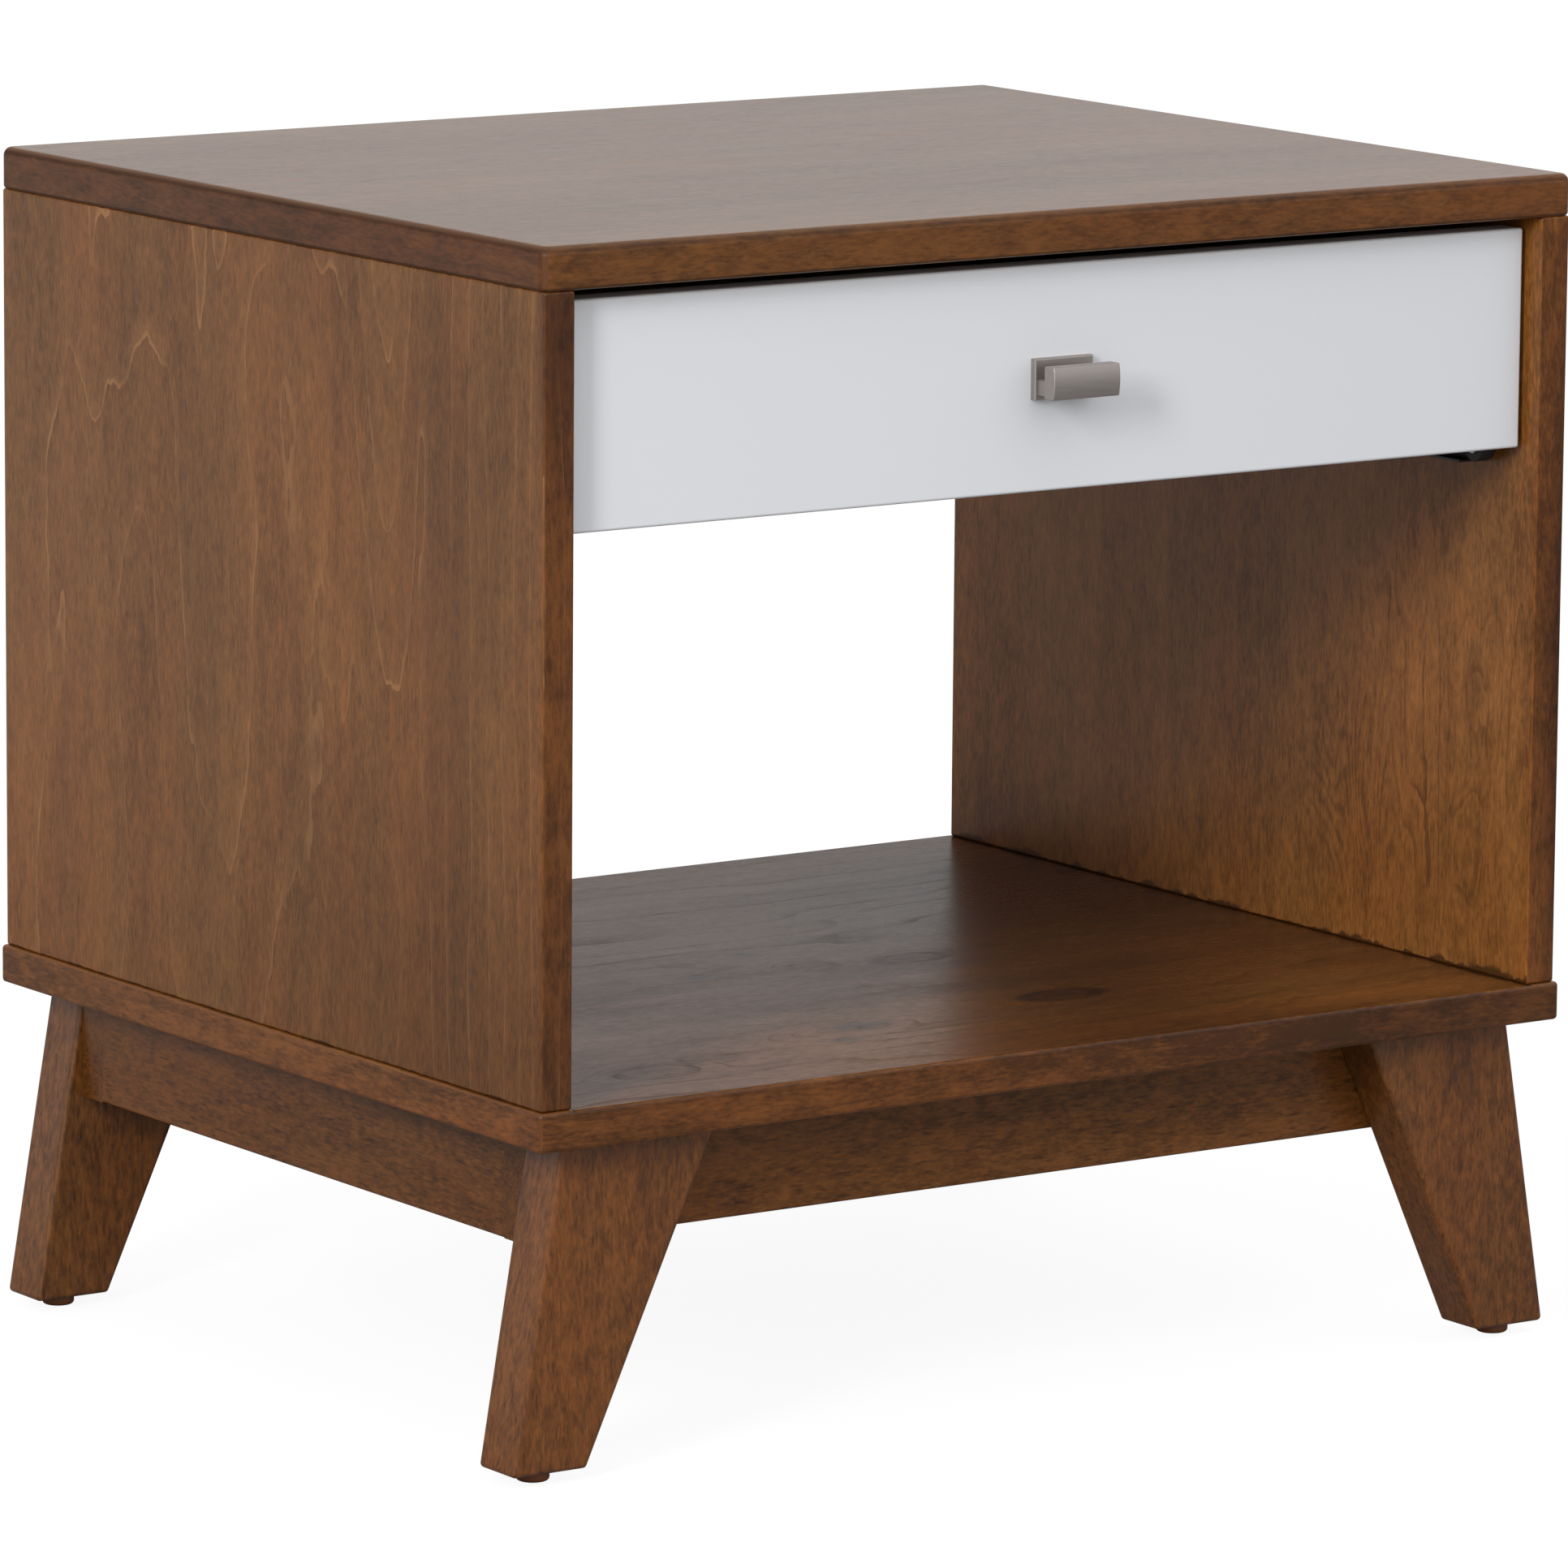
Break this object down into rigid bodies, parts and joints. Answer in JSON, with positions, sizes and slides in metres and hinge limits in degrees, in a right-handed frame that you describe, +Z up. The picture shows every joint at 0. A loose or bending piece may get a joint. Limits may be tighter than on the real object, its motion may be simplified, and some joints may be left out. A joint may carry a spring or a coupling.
{
  "type": "side table",
  "caption": "Side table: a stained-wood box with a white inset drawer over an open-backed shelf, on a frame with tapered, splayed legs.",
  "frame": {"origin": "on the floor, under the middle of the carcass", "axes": "+Z up, front and drawer pull towards -Y, +X to the right of someone facing the front"},
  "size_m": [0.65, 0.5363, 0.619],
  "materials": {
    "stained_wood": "walnut-brown stain with satin lacquer",
    "white_lacquer": "satin white lacquer",
    "birch": "clear lacquer",
    "beech": "bare",
    "brushed_nickel": "brushed nickel plate",
    "black_steel": "black epoxy coat",
    "zinc_steel": "zinc plate",
    "black_nylon": "moulded",
    "glide_plastic": "moulded"
  },
  "bodies": {
    "carcass": {"top_panel": "stained_wood", "left_side_panel": "stained_wood", "right_side_panel": "stained_wood", "bottom_panel": "stained_wood", "back_rail": "stained_wood", "front_base_rail": "stained_wood", "rear_base_rail": "stained_wood", "left_base_rail": "stained_wood", "right_base_rail": "stained_wood", "front_left_leg": "stained_wood", "front_right_leg": "stained_wood", "rear_left_leg": "stained_wood", "rear_right_leg": "stained_wood", "front_left_corner_block": "birch", "front_right_corner_block": "birch", "rear_left_corner_block": "birch", "rear_right_corner_block": "birch", "front_left_glide": "glide_plastic", "front_right_glide": "glide_plastic", "rear_left_glide": "glide_plastic", "rear_right_glide": "glide_plastic", "top_dowels": "beech", "bottom_dowels": "beech", "back_rail_dowels": "beech", "base_dowels": "beech", "leg_screws": "zinc_steel", "base_screws": "zinc_steel", "glide_nails": "zinc_steel", "front_roller_rivets": "zinc_steel", "cabinet_runner_screws": "zinc_steel", "left_cabinet_runner": "black_steel", "right_cabinet_runner": "black_steel"},
    "drawer": {"drawer_front": "white_lacquer", "drawer_inner_front": "birch", "drawer_left_side": "birch", "drawer_right_side": "birch", "drawer_back": "birch", "drawer_bottom": "birch", "drawer_dowels": "beech", "drawer_pull": "brushed_nickel", "drawer_front_screws": "zinc_steel", "pull_screws": "zinc_steel", "rear_roller_rivets": "zinc_steel", "drawer_runner_screws": "zinc_steel", "left_drawer_runner": "black_steel", "right_drawer_runner": "black_steel"},
    "left_front_roller": {"left_front_roller": "black_nylon"},
    "right_front_roller": {"right_front_roller": "black_nylon"},
    "left_rear_roller": {"left_rear_roller": "black_nylon"},
    "right_rear_roller": {"right_rear_roller": "black_nylon"}
  },
  "joints": [
    {"name": "drawer_slide", "type": "slide", "parent": "carcass", "child": "drawer", "axis": [0, -1, 0], "range_m": [0, 0.34]},
    {"name": "left_front_roller_spin", "type": "hinge", "parent": "carcass", "child": "left_front_roller", "pos_m": [-0.29405, -0.219, 0.473], "axis": [1, 0, 0], "range_deg": [0, 2440]},
    {"name": "left_rear_roller_spin", "type": "hinge", "parent": "drawer", "child": "left_rear_roller", "pos_m": [-0.292, 0.212, 0.472], "axis": [1, 0, 0], "range_deg": [0, 2790]},
    {"name": "right_front_roller_spin", "type": "hinge", "parent": "carcass", "child": "right_front_roller", "pos_m": [0.29405, -0.219, 0.473], "axis": [1, 0, 0], "range_deg": [0, 2440]},
    {"name": "right_rear_roller_spin", "type": "hinge", "parent": "drawer", "child": "right_rear_roller", "pos_m": [0.292, 0.212, 0.472], "axis": [1, 0, 0], "range_deg": [0, 2790]}
  ],
  "couplings": [
    {"joint": "left_front_roller_spin", "follows": "drawer_slide", "rad_per_m": 125},
    {"joint": "left_rear_roller_spin", "follows": "drawer_slide", "rad_per_m": 142.86},
    {"joint": "right_front_roller_spin", "follows": "drawer_slide", "rad_per_m": 125},
    {"joint": "right_rear_roller_spin", "follows": "drawer_slide", "rad_per_m": 142.86}
  ]
}
